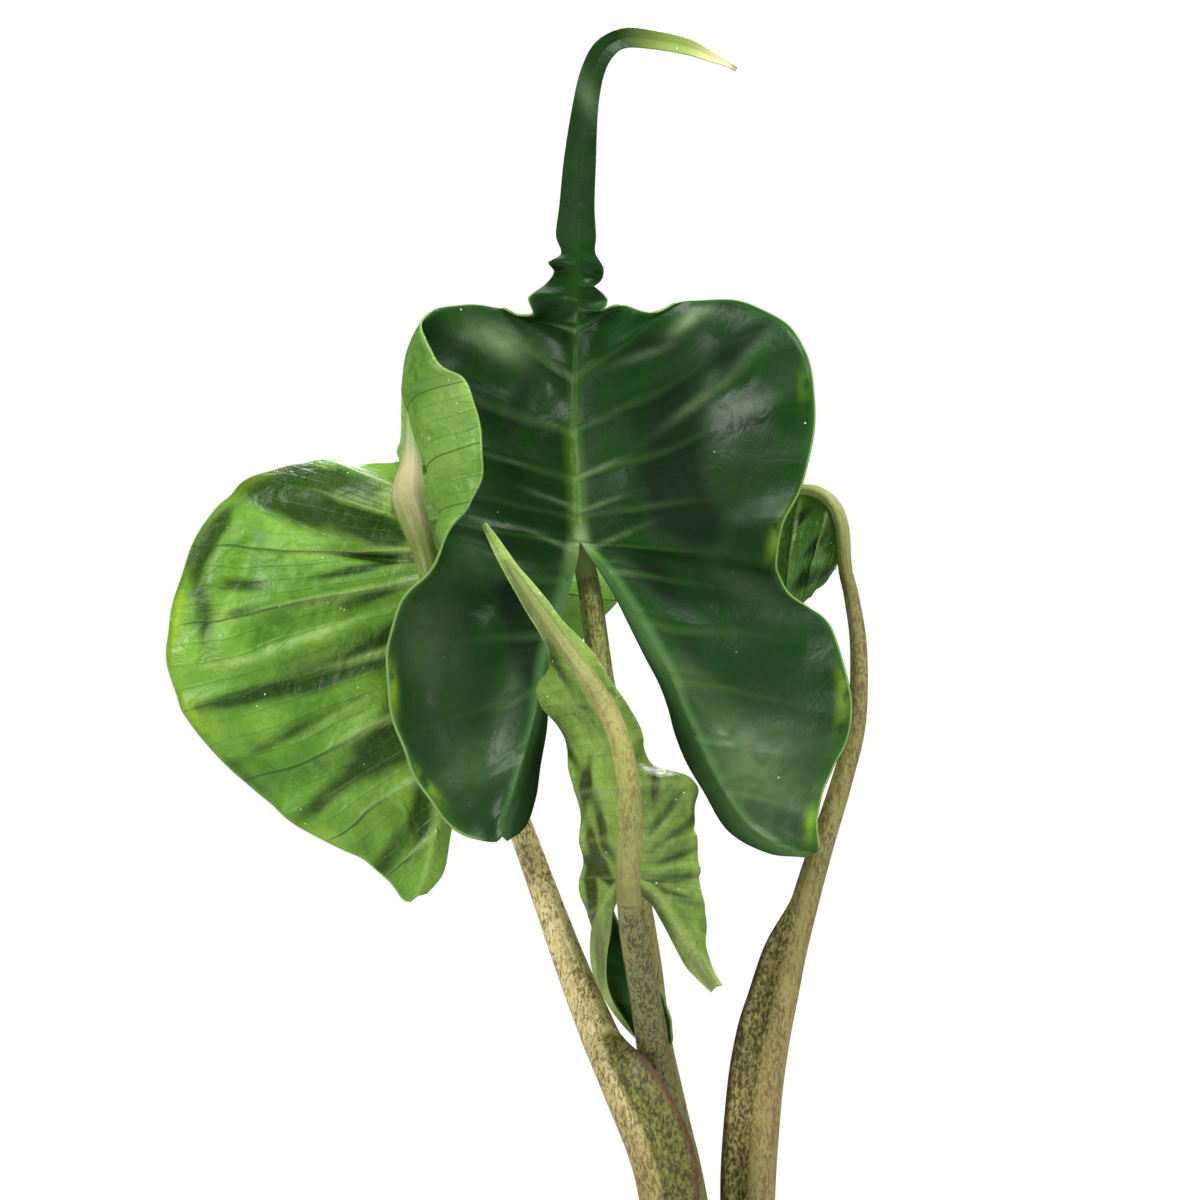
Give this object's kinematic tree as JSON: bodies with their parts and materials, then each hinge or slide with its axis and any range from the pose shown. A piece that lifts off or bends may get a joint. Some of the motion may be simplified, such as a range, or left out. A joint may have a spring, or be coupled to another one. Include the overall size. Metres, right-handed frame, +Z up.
{
  "type": "potted giant taro",
  "caption": "Giant taro house plant in a tapered nursery pot: long stalks carry glossy arrow-shaped leaves that end in slender tails",
  "frame": {"origin": "centre of the pot's flat underside", "axes": "+Z up along the pot's axis; the front leaf's upper face looks towards -Y; +X to the viewer's right"},
  "size_m": [0.3063, 0.1775, 0.6993],
  "materials": {
    "pot": "fine matte nursery plastic",
    "soil": "crumbly dry potting mix",
    "crown": "fibrous skin with leaf scars",
    "stalk_green": "satin skin with brown flecks",
    "stalk_cream": "satin skin with brown flecks",
    "blade_dark": "glossy waxy leaf",
    "blade_light": "satin leaf underside",
    "blade_mid": "satin leaf underside"
  },
  "bodies": {
    "root": {"pot": "pot", "soil": "soil", "crown": "crown", "leaf_front_stalk": "stalk_green", "leaf_left_stalk": "stalk_cream", "leaf_rolled_stalk": "stalk_green", "leaf_right_stalk": "stalk_cream", "leaf_front_blade": "blade_dark", "leaf_left_blade": "blade_light", "leaf_rolled_blade": "blade_light", "leaf_right_blade": "blade_mid"}
  },
  "joints": []
}
